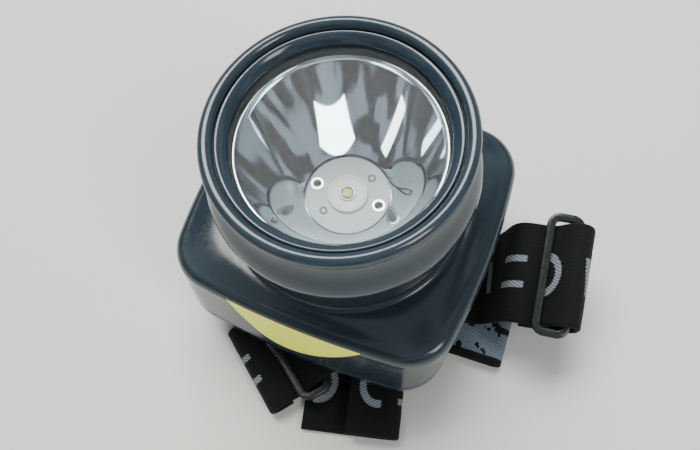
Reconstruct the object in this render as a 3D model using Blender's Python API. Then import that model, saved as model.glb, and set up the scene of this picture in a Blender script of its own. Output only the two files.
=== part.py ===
"""Cordless miner's cap lamp lying on its back on its folded head strap.

Metres, +Z up. The lens axis is +Z through the origin, and z = 0 is the surface that the strap lies on.
+X points to the wearer's left arm of the strap, and the reflective crescent is on the -Y side.
Dimensions below are in millimetres and are scaled to metres when a mesh is made.
"""

import math

import bmesh
import bpy
from mathutils import Matrix, Vector

MM = 0.001
GAP = 0.3  # clearance between pieces that touch

# Housing outline, seen along the lens axis
BODY_X, BODY_Y = 69.4, 62.4
BODY_CORNER = 11.6
BODY_BULGE = 1.3
BODY_CENTRE = Vector((0.0, -1.2))
WALL = 1.7

# Heights of the housing
BACK_Z = 9.5
SEAM_Z = 15.7
SHOULDER_Z = 30.6
FACE_EDGE_Z = 33.7
FACE_NECK_Z = 35.2
FACE_INSET = 2.6
WALL_DRAFT = 1.0
FLARE = 3.2  # outward reach of the crescent's wall at the seam

# Lamp head
NECK_R, NECK_BORE = 27.3, 25.3
NECK_TOP_Z = 50.4
CUP_SKIRT_R, CUP_TOP_R = 29.65, 26.7
CUP_SKIRT_Z, CUP_TOP_Z = 51.0, 60.7
CUP_BORE = 24.7
BEZEL_R = 28.0
BEZEL_Z = 64.5
BEZEL_TUBE = 1.45
GROOVE_R = 25.0
LIP_R = 22.5
LENS_R, LENS_Z, LENS_T = 24.2, 59.9, 2.0
BOARD_R, BOARD_Z, BOARD_T = 9.9, 35.9, 1.6
SINK_R, SINK_T = 24.9, 2.6
LEDGE_R, LEDGE_T = 21.5, 1.3
REFLECTOR_MOUTH, REFLECTOR_BASE = 22.4, 10.3
REFLECTOR_BASE_Z, REFLECTOR_TOP_Z = 37.0, 59.5
REFLECTOR_WALL = 1.0

# Battery and boards
CELL_R, CELL_LENGTH = 9.1, 65.0
CELL_Y = -6.5

# Button and charging socket, on the walls the crescent does not face
BUTTON_R = 5.2
BUTTON_X, BUTTON_Z = -8.0, 23.0
BUSHING_R = 6.9
INDICATOR_X = 8.0
PORT_Y, PORT_Z = 11.0, 23.2
PORT_PAD_X = -36.6
PORT_HOLE_R = 2.4
FLAP_Y, FLAP_Z, FLAP_T = 12.0, 12.6, 1.5

# Head strap and its hardware
STRAP_W, STRAP_T = 25.0, 1.5
TABLE_LAYER = STRAP_T / 2  # middle of a layer that lies on the table
FLAT_BELOW_Z = 9.0
SLIDER_U, SLIDER_V, SLIDER_T = 9.4, 30.6, 1.9
SLIDER_BAR = 2.2
BRACKET_X, BRACKET_Y, BRACKET_T = 64.0, 38.0, 2.4
BRACKET_Z = 6.6
SLOT_X, SLOT_W, SLOT_Y = 26.8, 7.2, 31.0

FINE, ROUND, SMALL = 48, 24, 12  # sides of large, middling and small round pieces


def clear_scene():
    for obj in list(bpy.data.objects):
        bpy.data.objects.remove(obj, do_unlink=True)


def material(name, colour, roughness, metallic=0.0, alpha=1.0):
    made = bpy.data.materials.new(name)
    made.use_nodes = True
    shader = made.node_tree.nodes["Principled BSDF"]
    shader.inputs["Base Color"].default_value = (*colour, 1.0)
    shader.inputs["Roughness"].default_value = roughness
    shader.inputs["Metallic"].default_value = metallic
    shader.inputs["Alpha"].default_value = alpha
    return made


def make_materials():
    return {
        "housing": material("housing", (0.035, 0.055, 0.07), 0.18),
        "lens": material("lens", (0.95, 0.97, 0.97), 0.03, alpha=0.3),
        "mirror": material("mirror", (0.85, 0.87, 0.88), 0.04, 1.0),
        "seal": material("seal", (0.02, 0.02, 0.02), 0.7),
        "board": material("board", (0.75, 0.77, 0.75), 0.35),
        "circuit": material("circuit", (0.03, 0.16, 0.07), 0.45),
        "led": material("led", (0.85, 0.86, 0.82), 0.3),
        "aluminium": material("aluminium", (0.6, 0.61, 0.62), 0.35, 1.0),
        "steel": material("steel", (0.55, 0.55, 0.56), 0.3, 1.0),
        "cell": material("cell", (0.05, 0.2, 0.4), 0.4),
        "component": material("component", (0.02, 0.02, 0.022), 0.4),
        "button": material("button", (0.02, 0.022, 0.024), 0.6),
        "crescent": material("crescent", (0.7, 0.72, 0.08), 0.35),
        "strap": material("strap", (0.02, 0.024, 0.024), 0.9),
        "buckle": material("buckle", (0.04, 0.045, 0.045), 0.25),
    }


def finish_mesh(name, mesh, finish, smooth_angle=35.0):
    """Turn a bmesh in millimetres into a named object in metres with outward faces."""
    bmesh.ops.recalc_face_normals(mesh, faces=mesh.faces)
    bmesh.ops.scale(mesh, vec=(MM, MM, MM), verts=mesh.verts)
    data = bpy.data.meshes.new(name)
    mesh.to_mesh(data)
    mesh.free()
    data.shade_smooth()
    data.set_sharp_from_angle(angle=math.radians(smooth_angle))
    if finish is not None:
        data.materials.append(finish)
    obj = bpy.data.objects.new(name, data)
    bpy.context.scene.collection.objects.link(obj)
    return obj


def loft(name, loops, finish, ring=False):
    """Join point loops of equal count. A ring closes on itself, and otherwise both ends are capped."""
    mesh = bmesh.new()
    rows = [[mesh.verts.new(point) for point in loop] for loop in loops]
    pairs = list(zip(rows, rows[1:]))
    if ring:
        pairs.append((rows[-1], rows[0]))
    for lower, upper in pairs:
        count = len(lower)
        for i in range(count):
            j = (i + 1) % count
            mesh.faces.new((lower[i], lower[j], upper[j], upper[i]))
    if not ring:
        mesh.faces.new(rows[0])
        mesh.faces.new(rows[-1])
    return finish_mesh(name, mesh, finish)


def circle(radius, z, count=FINE, centre=(0.0, 0.0)):
    turn = 2 * math.pi / count
    return [
        Vector((centre[0] + radius * math.cos(i * turn), centre[1] + radius * math.sin(i * turn), z))
        for i in range(count)
    ]


def turned(name, profile, finish, count=ROUND, centre=(0.0, 0.0), ring=False):
    """A solid of revolution about a vertical line, from (radius, height) points."""
    return loft(name, [circle(r, z, count, centre) for r, z in profile], finish, ring)


def arc(centre_r, centre_z, radius, start, end, steps):
    """Profile points on a circular arc, angles in degrees."""
    points = []
    for i in range(steps + 1):
        angle = math.radians(start + (end - start) * i / steps)
        points.append((centre_r + radius * math.cos(angle), centre_z + radius * math.sin(angle)))
    return points


def cylinder(name, radius, length, finish, count=ROUND, bevel=0.0):
    """A cylinder along its own +Z from the origin, with a chamfer on its far end."""
    profile = [(radius, 0.0), (radius, length - bevel)]
    if bevel:
        profile.append((radius - bevel, length))
    return turned(name, profile, finish, count)


def box(name, size, finish, bevel=0.0):
    """A box centred on its own origin, with rounded edges."""
    mesh = bmesh.new()
    bmesh.ops.create_cube(mesh, size=1.0)
    bmesh.ops.scale(mesh, vec=size, verts=mesh.verts)
    if bevel:
        bmesh.ops.bevel(
            mesh, geom=mesh.edges[:], offset=bevel, segments=2, profile=0.5, affect="EDGES"
        )
    return finish_mesh(name, mesh, finish)


def place(obj, at, turn=(0.0, 0.0, 0.0)):
    """Set the position in millimetres and the rotation in degrees."""
    obj.location = Vector(at) * MM
    obj.rotation_euler = [math.radians(angle) for angle in turn]
    return obj


def boolean(target, tool, operation):
    modifier = target.modifiers.new(tool.name, "BOOLEAN")
    modifier.operation = operation
    modifier.object = tool
    modifier.solver = "EXACT"
    tool.hide_render = True
    tool.display_type = "WIRE"
    return target


def side_radius(corner_offset):
    """Radius of a bulging side that meets its corner arcs smoothly."""
    return (corner_offset**2 + 2 * BODY_CORNER * BODY_BULGE + BODY_BULGE**2) / (2 * BODY_BULGE)


def flare(z):
    """Outward reach of the -Y wall at a height."""
    return FLARE * min(max((SHOULDER_Z - z) / (SHOULDER_Z - SEAM_Z), 0.0), 1.0)


def body_outline(inset, z, corner_steps=5, side_steps=5):
    """The housing outline moved inwards by inset: four bulging sides joined by round corners.

    The -Y side leans outwards below the shoulder, and the lean fades towards the middle.
    """
    half_x, half_y = BODY_X / 2, BODY_Y / 2
    corner_x, corner_y = half_x - BODY_CORNER, half_y - BODY_CORNER
    radius_x, radius_y = side_radius(corner_y), side_radius(corner_x)
    sides = [
        (half_x + BODY_BULGE - radius_x, 0.0, radius_x, 0.0, corner_y),
        (0.0, half_y + BODY_BULGE - radius_y, radius_y, 90.0, corner_x),
        (radius_x - half_x - BODY_BULGE, 0.0, radius_x, 180.0, corner_y),
        (0.0, radius_y - half_y - BODY_BULGE, radius_y, 270.0, corner_x),
    ]
    corners = [
        (corner_x, corner_y),
        (-corner_x, corner_y),
        (-corner_x, -corner_y),
        (corner_x, -corner_y),
    ]
    points = []
    for k, (cx, cy, radius, heading, offset) in enumerate(sides):
        spread = math.degrees(math.asin(offset / (radius - BODY_CORNER)))
        for i in range(side_steps):
            angle = math.radians(heading - spread + 2 * spread * i / side_steps)
            reach = radius - inset
            points.append((cx + reach * math.cos(angle), cy + reach * math.sin(angle)))
        next_offset = sides[(k + 1) % 4][4]
        next_radius = sides[(k + 1) % 4][2]
        next_spread = math.degrees(math.asin(next_offset / (next_radius - BODY_CORNER)))
        start, end = heading + spread, heading + 90.0 - next_spread
        kx, ky = corners[k]
        for i in range(corner_steps):
            angle = math.radians(start + (end - start) * i / corner_steps)
            reach = BODY_CORNER - inset
            points.append((kx + reach * math.cos(angle), ky + reach * math.sin(angle)))
    outline = []
    for x, y in points:
        share = min(max(-y / half_y, 0.0), 1.0)
        y -= flare(z) * share**2 * (3 - 2 * share)
        outline.append(Vector((x + BODY_CENTRE.x, y + BODY_CENTRE.y, z)))
    return outline


def circle_facing(outline, radius, z):
    """A circle about the lens axis with one point facing each point of an outline."""
    points = []
    for point in outline:
        angle = math.atan2(point.y, point.x)
        points.append(Vector((radius * math.cos(angle), radius * math.sin(angle), z)))
    return points


def blend_loops(outer, inner, share, z):
    return [Vector((*(a.lerp(b, share)).xy, z)) for a, b in zip(outer, inner)]


def wall_inset(z):
    """Inset of the tapering side wall at a height."""
    return WALL_DRAFT * (SHOULDER_Z - z) / (SHOULDER_Z - SEAM_Z)


def make_front_shell(finish):
    """Face, shoulder and side walls with the round neck that carries the lamp head."""
    rim = SEAM_Z + 0.5
    loops = [body_outline(wall_inset(rim), rim), body_outline(0.0, SHOULDER_Z)]
    for inset, z in arc(-FACE_INSET, SHOULDER_Z, FACE_INSET, 0.0, 90.0, 5)[1:]:
        rise = (FACE_EDGE_Z - SHOULDER_Z) / FACE_INSET
        loops.append(body_outline(-inset, SHOULDER_Z + (z - SHOULDER_Z) * rise))
    edge = loops[-1]
    fillet = arc(NECK_R + 0.9, FACE_NECK_Z + 0.9, 0.9, 270.0, 180.0, 3)
    neck = circle_facing(edge, fillet[0][0], FACE_NECK_Z)
    for share in (0.35, 0.7):
        crown = FACE_EDGE_Z + (FACE_NECK_Z - FACE_EDGE_Z) * math.sin(share * math.pi / 2)
        loops.append(blend_loops(edge, neck, share, crown))
    loops += [circle_facing(edge, r, z) for r, z in fillet]
    ledge_top = BOARD_Z - BOARD_T - SINK_T - 2 * GAP
    ledge_low = ledge_top - LEDGE_T
    roof = SHOULDER_Z + 0.9
    for radius, z in (
        (NECK_R, NECK_TOP_Z),
        (NECK_BORE, NECK_TOP_Z),
        (NECK_BORE, ledge_top),
        (LEDGE_R, ledge_top),
        (LEDGE_R, ledge_low),
        (NECK_R, ledge_low),
        (NECK_R + 0.4, roof),
    ):
        loops.append(circle_facing(edge, radius, z))
    inner_edge = body_outline(WALL + 1.6, roof)
    loops.append(inner_edge)
    loops.append(body_outline(WALL, SHOULDER_Z - 1.5))
    loops.append(body_outline(WALL + wall_inset(rim), rim))
    return loft("front_shell", loops, finish, ring=True)


def screw_corners(inset_x, inset_y):
    return [
        (sx * (BODY_X / 2 - inset_x) + BODY_CENTRE.x, sy * (BODY_Y / 2 - inset_y) + BODY_CENTRE.y)
        for sx in (1, -1)
        for sy in (1, -1)
    ]


def make_rear_cover(finish):
    """Shallow tray that closes the back of the housing."""
    rim = SEAM_Z - 0.5
    base_inset = wall_inset(rim)
    loops = [body_outline(base_inset + 5.0, BACK_Z)]
    for offset, drop in ((2.6, 0.0), (1.2, 0.5), (0.4, 1.4), (0.0, 3.0)):
        loops.append(body_outline(base_inset + offset, BACK_Z + drop))
    loops.append(body_outline(base_inset, rim))
    loops.append(body_outline(base_inset + WALL, rim))
    loops.append(body_outline(base_inset + WALL, BACK_Z + 2.2))
    loops.append(body_outline(base_inset + WALL + 0.5, BACK_Z + 1.6))
    return loft("rear_cover", loops, finish)


def make_housing(finishes):
    front = make_front_shell(finishes["housing"])
    rear = make_rear_cover(finishes["housing"])
    for index, (x, y) in enumerate(screw_corners(9.6, 9.6), 1):
        boss = place(cylinder(f"boss_{index}", 2.9, 16.0, None, SMALL), (x, y, SEAM_Z + 0.4))
        pilot = place(cylinder(f"pilot_{index}", 1.4, 9.0, None, SMALL), (x, y, SEAM_Z))
        boolean(front, boss, "UNION")
        boolean(front, pilot, "DIFFERENCE")
        well = place(cylinder(f"well_{index}", 3.0, 2.4, None, SMALL), (x, y, BACK_Z - 1.0))
        post = place(cylinder(f"post_{index}", 4.2, 4.6, None, SMALL), (x, y, BACK_Z + 0.6))
        shank = place(cylinder(f"shank_{index}", 1.7, 12.0, None, SMALL), (x, y, BACK_Z - 1.0))
        boolean(rear, post, "UNION")
        boolean(rear, well, "DIFFERENCE")
        boolean(rear, shank, "DIFFERENCE")
        screw = turned(
            f"rear_cover_screw_{index}",
            [
                (2.4, BACK_Z + 0.1),
                (2.6, BACK_Z + 0.4),
                (1.2, BACK_Z + 1.2),
                (1.1, SEAM_Z + 7.6),
                (0.4, SEAM_Z + 8.4),
            ],
            finishes["steel"],
            SMALL,
            (x, y),
        )
        screw.location.z = 0.0
    gasket_inset = wall_inset(SEAM_Z)
    loft(
        "housing_gasket",
        [
            body_outline(gasket_inset + 0.35, SEAM_Z - 0.2),
            body_outline(gasket_inset + 0.35, SEAM_Z + 0.2),
            body_outline(gasket_inset + 1.6, SEAM_Z + 0.2),
            body_outline(gasket_inset + 1.6, SEAM_Z - 0.2),
        ],
        finishes["seal"],
        ring=True,
    )
    return front, rear


def make_crescent(front, finish):
    """Yellow reflective inlay in the wall below the shoulder, in a pocket of the same outline."""
    half_width, depth, lowest_x = 16.6, 14.3, -3.0
    top_z = SHOULDER_Z + 1.3
    radius_y = side_radius(BODY_X / 2 - BODY_CORNER)
    centre_y = BODY_CENTRE.y - BODY_Y / 2 - BODY_BULGE + radius_y

    def wall_y(x, z, sink):
        reach = radius_y - max(wall_inset(min(z, SHOULDER_Z)), 0.0) - sink
        return centre_y - math.sqrt(reach**2 - x**2) - flare(z)

    def slab(name, grow, outer, inner, piece_finish):
        steps = 22
        loops = []
        for i in range(steps + 1):
            x = -half_width - grow + 2 * (half_width + grow) * i / steps
            side = half_width + grow + (lowest_x if x < lowest_x else -lowest_x)
            share = min(abs(x - lowest_x) / side, 1.0)
            low = top_z - grow - depth * (1.0 - share**2) - 0.15
            high = top_z + grow
            corners = []
            for z, sink in ((low, outer), (high, outer), (high, inner), (low, inner)):
                lean = 0.0
                if z > SHOULDER_Z:
                    lean = FACE_INSET * (1 - math.sqrt(max(0.0, 1 - ((z - SHOULDER_Z) / 3.1) ** 2)))
                corners.append(Vector((x, wall_y(x, z, sink + lean), z)))
            loops.append(corners)
        return loft(name, loops, piece_finish)

    pocket = slab("crescent_pocket", 0.3, -3.0, 0.95, None)
    boolean(front, pocket, "DIFFERENCE")
    return slab("reflective_crescent", 0.0, 0.1, 0.65, finish)


def make_lamp_head(finishes):
    """Skirted cup, bezel, lens, seal and reflector, all turned about the lens axis."""
    turned(
        "head_cup",
        [
            (CUP_TOP_R, CUP_TOP_Z),
            (CUP_TOP_R - 0.35, CUP_TOP_Z - 1.2),
            (CUP_TOP_R + 0.45, CUP_TOP_Z - 4.0),
            (CUP_SKIRT_R - 1.0, CUP_SKIRT_Z + 3.0),
            (CUP_SKIRT_R, CUP_SKIRT_Z + 0.6),
            (CUP_SKIRT_R - 0.1, CUP_SKIRT_Z + 0.15),
            (CUP_SKIRT_R - 0.6, CUP_SKIRT_Z),
            (NECK_BORE - 2 * GAP, CUP_SKIRT_Z),
            (NECK_BORE - 2 * GAP, CUP_SKIRT_Z - 9.0),
            (NECK_BORE - 1.5, CUP_SKIRT_Z - 9.0),
            (NECK_BORE - 1.5, CUP_SKIRT_Z + 5.0),
            (CUP_BORE, CUP_SKIRT_Z + 6.2),
            (CUP_BORE, CUP_TOP_Z),
        ],
        finishes["housing"],
        FINE,
        ring=True,
    )
    tube_r = BEZEL_R - BEZEL_TUBE
    turned(
        "bezel_ring",
        [
            (LIP_R, BEZEL_Z - 1.8),
            (LIP_R + 0.4, BEZEL_Z - 1.3),
            (GROOVE_R - 0.7, BEZEL_Z),
            (GROOVE_R - 0.3, BEZEL_Z - 0.2),
            (GROOVE_R, BEZEL_Z - 1.0),
        ]
        + arc(tube_r, BEZEL_Z, BEZEL_TUBE, 165.0, -20.0, 6)
        + [
            (BEZEL_R - 0.3, BEZEL_Z - 2.1),
            (CUP_TOP_R + 0.1, CUP_TOP_Z + GAP),
            (LENS_R + 0.5, CUP_TOP_Z + GAP),
            (LENS_R + 0.5, LENS_Z + LENS_T + 0.5),
            (LIP_R, LENS_Z + LENS_T + 0.5),
        ],
        finishes["housing"],
        FINE,
        ring=True,
    )
    top = LENS_Z + LENS_T
    turned(
        "lens",
        [(LENS_R - 0.3, LENS_Z), (LENS_R, LENS_Z + 0.3), (LENS_R, top - 0.3), (LENS_R - 0.3, top)],
        finishes["lens"],
        FINE,
    )
    turned(
        "lens_gasket",
        [(LENS_R, top + 0.1), (LENS_R, top + 0.4), (LIP_R + 0.3, top + 0.4), (LIP_R + 0.3, top + 0.1)],
        finishes["seal"],
        FINE,
        ring=True,
    )
    make_reflector(finishes["mirror"])


def make_reflector(finish):
    """Paraboloid bowl with a flange under the lens and an opening over the emitter board."""
    span = REFLECTOR_TOP_Z - REFLECTOR_BASE_Z
    slope = span / (REFLECTOR_MOUTH**2 - REFLECTOR_BASE**2)
    steps = 10
    inner, outer = [], []
    for i in range(steps + 1):
        radius = REFLECTOR_BASE + (REFLECTOR_MOUTH - REFLECTOR_BASE) * i / steps
        z = REFLECTOR_BASE_Z + slope * (radius**2 - REFLECTOR_BASE**2)
        lean = math.atan(2 * slope * radius)
        inner.append((radius, z))
        outer.append((radius + REFLECTOR_WALL * math.sin(lean), z - REFLECTOR_WALL * math.cos(lean)))
    flange_r = LENS_R - 0.2
    flange = [(flange_r, REFLECTOR_TOP_Z), (flange_r, REFLECTOR_TOP_Z - 1.0)]
    rim = [(r, z) for r, z in reversed(outer) if r < CUP_BORE - 1.6 and z > BOARD_Z + GAP]
    foot = [(REFLECTOR_BASE + 0.7, BOARD_Z + 0.25), (REFLECTOR_BASE, BOARD_Z + 0.25)]
    return turned("reflector", inner + flange + rim + foot, finish, ROUND + 8, ring=True)


def make_emitter(finishes):
    """Star board with the emitter, on an aluminium heat sink held down by three screws."""
    board = turned(
        "led_board",
        [(BOARD_R, BOARD_Z - BOARD_T), (BOARD_R, BOARD_Z)],
        finishes["board"],
        ROUND,
    )
    for index, x in enumerate((-7.8, 7.8), 1):
        hole = place(cylinder(f"wire_hole_{index}", 0.95, 6.0, None, SMALL), (x, 0.0, BOARD_Z - 4.0))
        boolean(board, hole, "DIFFERENCE")
    base = BOARD_Z + 0.1
    turned(
        "led_package",
        [(4.8, base), (4.8, base + 0.5), (4.4, base + 0.8), (2.9, base + 0.8), (2.6, base + 0.3)],
        finishes["led"],
        ROUND,
    )
    turned(
        "led_dome",
        [(2.3, base + 0.6)] + arc(0.0, base + 0.7, 2.3, 8.0, 80.0, 5),
        finishes["lens"],
        SMALL,
    )
    sink_low = BOARD_Z - BOARD_T - GAP - SINK_T
    sink = turned(
        "heat_sink",
        [(SINK_R, sink_low), (SINK_R, sink_low + SINK_T)],
        finishes["aluminium"],
        ROUND,
    )
    head_z = sink_low + SINK_T + GAP
    for index, angle in enumerate((90.0, 210.0, 330.0), 1):
        x, y = 16.5 * math.cos(math.radians(angle)), 16.5 * math.sin(math.radians(angle))
        hole = place(cylinder(f"sink_hole_{index}", 1.5, 8.0, None, SMALL), (x, y, sink_low - 2.0))
        boolean(sink, hole, "DIFFERENCE")
        turned(
            f"heat_sink_screw_{index}",
            [(1.1, sink_low + 0.3), (1.1, head_z), (2.0, head_z), (1.7, head_z + 1.1)],
            finishes["steel"],
            SMALL,
            (x, y),
        )


def make_power(finishes):
    """Lithium cell, charging board, switch board and charging socket."""
    cell_z = BACK_Z + 1.9 + CELL_R
    cell = cylinder("battery_cell", CELL_R, CELL_LENGTH, finishes["cell"], ROUND, 0.6)
    place(cell, (-CELL_LENGTH / 2, CELL_Y, cell_z), (0.0, 90.0, 0.0))
    place(box("control_board", (34.0, 17.0, 1.6), finishes["circuit"]), (1.0, 10.5, BACK_Z + 3.2))
    place(box("switch_board", (30.0, 1.6, 10.0), finishes["circuit"]), (0.0, 21.2, BUTTON_Z))
    place(box("tact_switch", (6.0, 3.2, 6.0), finishes["component"], 0.3), (BUTTON_X, 23.9, BUTTON_Z))


def make_button(front, finishes):
    """Push button in a bushing through the wall opposite the crescent."""
    outside = BODY_CENTRE.y + BODY_Y / 2 + BODY_BULGE
    bore = cylinder("button_bore", BUSHING_R + GAP, 12.0, None, ROUND)
    boolean(front, place(bore, (BUTTON_X, outside + 4.0, BUTTON_Z), (90.0, 0.0, 0.0)), "DIFFERENCE")
    bushing = turned(
        "button_bushing",
        [
            (BUSHING_R, 0.0),
            (BUSHING_R, 3.6),
            (BUSHING_R - 0.4, 4.0),
            (BUTTON_R + GAP, 4.0),
            (BUTTON_R + GAP, 0.0),
        ],
        finishes["buckle"],
        ROUND,
        ring=True,
    )
    place(bushing, (BUTTON_X, outside - 3.6, BUTTON_Z), (-90.0, 0.0, 0.0))
    cap = turned(
        "button_cap",
        [
            (2.0, -1.0),
            (2.0, 0.4),
            (BUTTON_R, 0.4),
            (BUTTON_R, 4.6),
            (BUTTON_R - 0.5, 5.2),
            (BUTTON_R - 2.6, 5.5),
        ],
        finishes["button"],
        ROUND,
    )
    place(cap, (BUTTON_X, outside - 3.6, BUTTON_Z), (-90.0, 0.0, 0.0))
    window = cylinder("indicator_hole", 1.8, 12.0, None, SMALL)
    boolean(front, place(window, (INDICATOR_X, outside + 4.0, BUTTON_Z), (90.0, 0.0, 0.0)), "DIFFERENCE")
    light = turned(
        "charge_indicator",
        [(1.5, 0.0), (1.5, 5.0), (1.2, 5.6), (0.5, 5.9)],
        finishes["led"],
        SMALL,
    )
    place(light, (INDICATOR_X, outside - 5.4, BUTTON_Z), (-90.0, 0.0, 0.0))


def make_port(front, finishes):
    """Charging socket in a flat pad on the -X wall, under a hinged rubber flap."""
    pad = place(box("port_pad", (4.0, FLAP_Y + 1.0, FLAP_Z), None, 0.8), (PORT_PAD_X + 2.0, PORT_Y, PORT_Z))
    boolean(front, pad, "UNION")
    hole = cylinder("port_hole", 3.6, 9.0, None, ROUND)
    boolean(front, place(hole, (PORT_PAD_X - 3.0, PORT_Y, PORT_Z), (0.0, 90.0, 0.0)), "DIFFERENCE")
    socket = turned(
        "charge_socket",
        [(3.3, 0.0), (3.3, 9.0), (PORT_HOLE_R, 9.0), (PORT_HOLE_R, 0.0)],
        finishes["component"],
        ROUND,
        ring=True,
    )
    place(socket, (PORT_PAD_X + 0.3, PORT_Y, PORT_Z), (0.0, 90.0, 0.0))
    flap = box("port_cover", (FLAP_T, FLAP_Y, FLAP_Z - 1.0), finishes["button"], 0.45)
    place(flap, (PORT_PAD_X - GAP - FLAP_T / 2, PORT_Y, PORT_Z))
    stub = cylinder("port_stub", 1.6, 2.2, None, SMALL)
    place(stub, (PORT_PAD_X - FLAP_T, PORT_Y, PORT_Z), (0.0, 90.0, 0.0))
    boolean(flap, stub, "UNION")


def make_bracket(rear, finishes):
    """Strap carrier on the back of the housing, with a slot at each end and two screws."""
    plate = box("strap_bracket", (BRACKET_X, BRACKET_Y, BRACKET_T), finishes["buckle"], 0.5)
    place(plate, (0.0, 0.0, BRACKET_Z + BRACKET_T / 2))
    for side, name in ((1, "right"), (-1, "left")):
        slot = box(f"slot_{name}", (SLOT_W, SLOT_Y, 8.0), None)
        boolean(plate, place(slot, (side * SLOT_X, 0.0, BRACKET_Z)), "DIFFERENCE")
    for index, x in enumerate((-12.0, 12.0), 1):
        hole = place(cylinder(f"bracket_hole_{index}", 1.8, 8.0, None, SMALL), (x, 0.0, BRACKET_Z - 2.0))
        boolean(plate, hole, "DIFFERENCE")
        sink = place(cylinder(f"bracket_sink_{index}", 3.1, 2.2, None, SMALL), (x, 0.0, BRACKET_Z - 1.0))
        boolean(plate, sink, "DIFFERENCE")
        pilot = place(cylinder(f"bracket_pilot_{index}", 1.6, 8.0, None, SMALL), (x, 0.0, BACK_Z - 2.0))
        boolean(rear, pilot, "DIFFERENCE")
        low = BRACKET_Z + 0.1
        turned(
            f"bracket_screw_{index}",
            [(2.6, low), (2.7, low + 0.7), (1.3, low + 0.8), (1.2, BACK_Z + 1.5)],
            finishes["steel"],
            SMALL,
            (x, 0.0),
        )


def smooth_route(points, per_span=3):
    """A Catmull-Rom curve through the route's own points."""
    knots = [Vector(point) for point in [points[0], *points, points[-1]]]
    route = []
    for a, b, c, d in zip(knots, knots[1:], knots[2:], knots[3:]):
        for i in range(per_span):
            t = i / per_span
            square = (2 * a - 5 * b + 4 * c - d) * t**2
            cube = (3 * b - a - 3 * c + d) * t**3
            route.append((2 * b + (c - a) * t + square + cube) / 2)
    route.append(knots[-1])
    return route


def ribbon(name, start, heading, route, finish, bank=0.0, width=STRAP_W):
    """Webbing that follows (run, height) points in the vertical plane of its heading.

    bank lifts the edge on the left of the heading, by a share of the distance from the middle, and
    fades with height so that the layer on the table lies flat.
    """
    turn = math.radians(heading)
    along = Vector((math.cos(turn), math.sin(turn), 0.0))
    across = Vector((-math.sin(turn), math.cos(turn), 0.0))
    line = smooth_route(route)
    loops = []
    for i, (run, z) in enumerate(line):
        before, after = line[max(i - 1, 0)], line[min(i + 1, len(line) - 1)]
        tangent = Vector((after[0] - before[0], after[1] - before[1])).normalized()
        normal = Vector((-tangent.y, tangent.x)) * STRAP_T / 2
        lean = bank * min(max((z - FLAT_BELOW_Z) / 5.0, 0.0), 1.0)
        corners = []
        for side, lift in ((1, 1), (-1, 1), (-1, -1), (1, -1)):
            offset = side * width / 2
            point = Vector((*start, 0.0)) + along * (run + normal.x * lift) + across * offset
            point.z = z + normal.y * lift + offset * lean
            corners.append(point)
        loops.append(corners)
    return loft(name, loops, finish)


RIGHT_START, RIGHT_HEADING, RIGHT_BANK = (27.6, 1.0), 10.0, 0.2
RIGHT_ROUTE = [
    (-0.6, 8.4), (-0.6, 7.4), (-0.3, 6.3), (1.0, 5.4), (3.0, 5.1), (7.2, 5.2), (9.6, 6.6),
    (11.6, 10.0), (13.2, 13.6), (14.8, 15.9), (17.0, 16.8), (19.4, 17.1), (21.6, 17.15),
    (23.2, 17.9), (25.2, 20.0), (26.9, 21.6), (28.6, 22.1), (30.4, 21.5), (31.3, 19.9),
    (30.9, 18.1), (29.4, 17.0), (26.6, 16.0), (23.6, 15.2), (20.6, 14.75), (18.0, 14.5),
]
LEFT_START, LEFT_HEADING, LEFT_BANK = (1.7, -24.5), 234.0, 0.0
LEFT_ROUTE = [
    (3.0, 5.0), (3.2, 6.2), (4.0, 7.4), (5.6, 7.9), (8.0, 7.3), (10.5, 5.6), (13.0, 4.2), (15.0, 4.0),
    (17.0, 4.3), (19.4, 5.0), (21.6, 4.4), (22.6, 2.9), (21.8, 1.3), (19.4, TABLE_LAYER),
    (17.0, TABLE_LAYER),
]
UNDER_START, UNDER_HEADING = (0.0, -8.2), 4.0
UNDER_ROUTE = [
    (-6.0, 2.75), (10.0, 2.75), (30.0, 2.75), (42.0, 2.8), (44.8, 2.75), (46.0, 1.8),
    (44.8, 0.85), (42.0, TABLE_LAYER), (30.0, TABLE_LAYER), (-6.0, TABLE_LAYER),
]
BOTTOM_START, BOTTOM_HEADING = (11.5, -36.4), 15.5
BOTTOM_ROUTE = [
    (-9.0, TABLE_LAYER), (-3.0, TABLE_LAYER), (3.0, TABLE_LAYER), (8.0, 0.9), (12.0, 1.1),
    (14.2, 1.9), (15.2, 3.1), (14.2, 4.3), (12.0, 5.0), (8.0, 5.0), (2.5, 5.0),
]


def slider(name, finish, centre, heading, bank, pitch):
    """Webbing slider: a flat ring, whose first bar lies over the strap and whose second lies under it."""
    frame = box(name, (SLIDER_U, SLIDER_V, SLIDER_T), finish, 0.8)
    tilt = Matrix.Rotation(math.radians(heading), 4, "Z") @ Matrix.Rotation(math.radians(bank), 4, "X")
    pose = Matrix.Translation(Vector(centre) * MM) @ tilt @ Matrix.Rotation(math.radians(pitch), 4, "Y")
    frame.matrix_world = pose
    window = box(f"{name}_window", (SLIDER_U - 2 * SLIDER_BAR, STRAP_W + 1.2, 8.0), None)
    window.matrix_world = pose
    return boolean(frame, window, "DIFFERENCE")


def make_strap(finishes):
    finish = finishes["strap"]
    ribbon("strap_right_arm", RIGHT_START, RIGHT_HEADING, RIGHT_ROUTE, finish, RIGHT_BANK)
    ribbon("strap_left_arm", LEFT_START, LEFT_HEADING, LEFT_ROUTE, finish, LEFT_BANK)
    ribbon("strap_under_run", UNDER_START, UNDER_HEADING, UNDER_ROUTE, finish)
    ribbon("strap_bottom_run", BOTTOM_START, BOTTOM_HEADING, BOTTOM_ROUTE, finish)
    slider("slider_right", finishes["buckle"], (52.2, 5.35, 19.6), RIGHT_HEADING, 11.3, 0.0)
    slider("slider_left", finishes["buckle"], (-4.35, -32.8, 5.9), LEFT_HEADING, 0.0, -6.0)


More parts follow.
